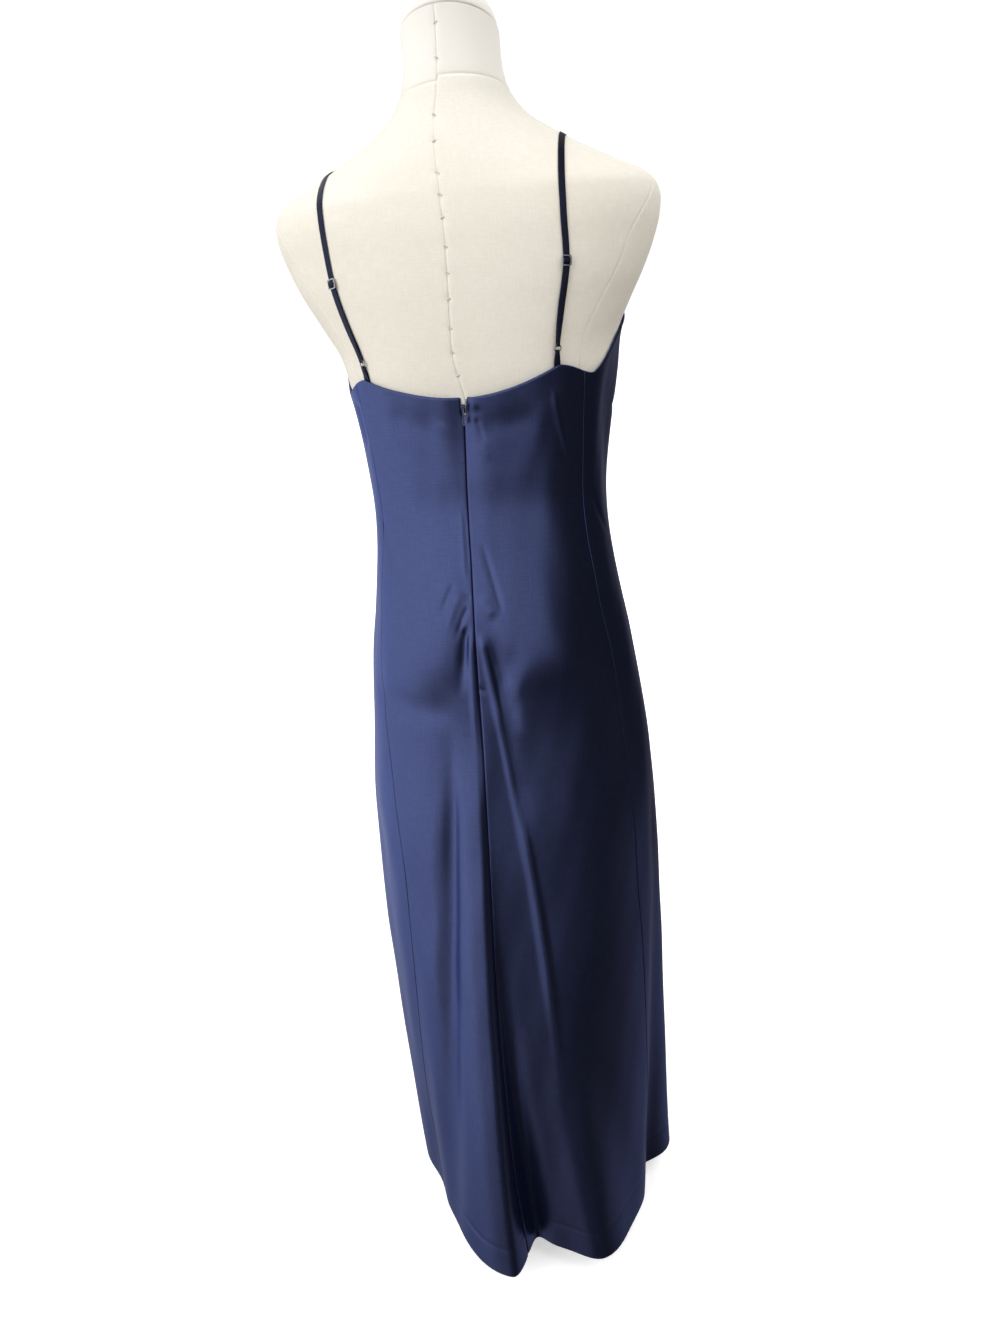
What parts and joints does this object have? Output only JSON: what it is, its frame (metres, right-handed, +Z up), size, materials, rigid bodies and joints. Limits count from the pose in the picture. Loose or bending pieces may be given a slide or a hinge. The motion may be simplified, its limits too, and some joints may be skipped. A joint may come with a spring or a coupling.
{
  "type": "slip dress on dress form",
  "caption": "Long navy satin slip dress with thin adjustable straps and a back zip, shown worn on a limbless canvas dress form that stands on a round base.",
  "frame": {"origin": "middle of the stand's flat underside, on the floor", "axes": "+Z up along the pole and the figure's height; the figure faces -Y, so the back and the zip are at +Y; the figure's left side is at +X"},
  "size_m": [0.3932, 0.3983, 1.4583],
  "materials": {
    "navy_satin": "satin-back crepe, soft sheen",
    "zip_tape": "matt woven tape",
    "zip_metal": "navy enamel",
    "strap_metal": "dark gloss enamel",
    "canvas": "plain cotton canvas",
    "painted_steel": "satin off-white paint"
  },
  "bodies": {
    "dressed_form": {"dress_front": "navy_satin", "dress_back_left": "navy_satin", "dress_back_right": "navy_satin", "zip_tape_left": "zip_tape", "zip_tape_right": "zip_tape", "zip_slider": "zip_metal", "strap_left": "navy_satin", "strap_right": "navy_satin", "ring_loop_left": "navy_satin", "ring_loop_right": "navy_satin", "strap_ring_left": "strap_metal", "strap_ring_right": "strap_metal", "strap_buckle_left": "strap_metal", "strap_buckle_right": "strap_metal", "form_body": "canvas", "form_neck_cap": "canvas", "form_pole": "painted_steel", "form_base": "painted_steel"},
    "zip_pull_tab": {"zip_pull": "zip_metal"}
  },
  "joints": [
    {"name": "zip_pull_hinge", "type": "hinge", "parent": "dressed_form", "child": "zip_pull_tab", "pos_m": [0.00272, 0.11724, 1.08747], "axis": [1, 0, 0], "range_deg": [0, 150]}
  ]
}
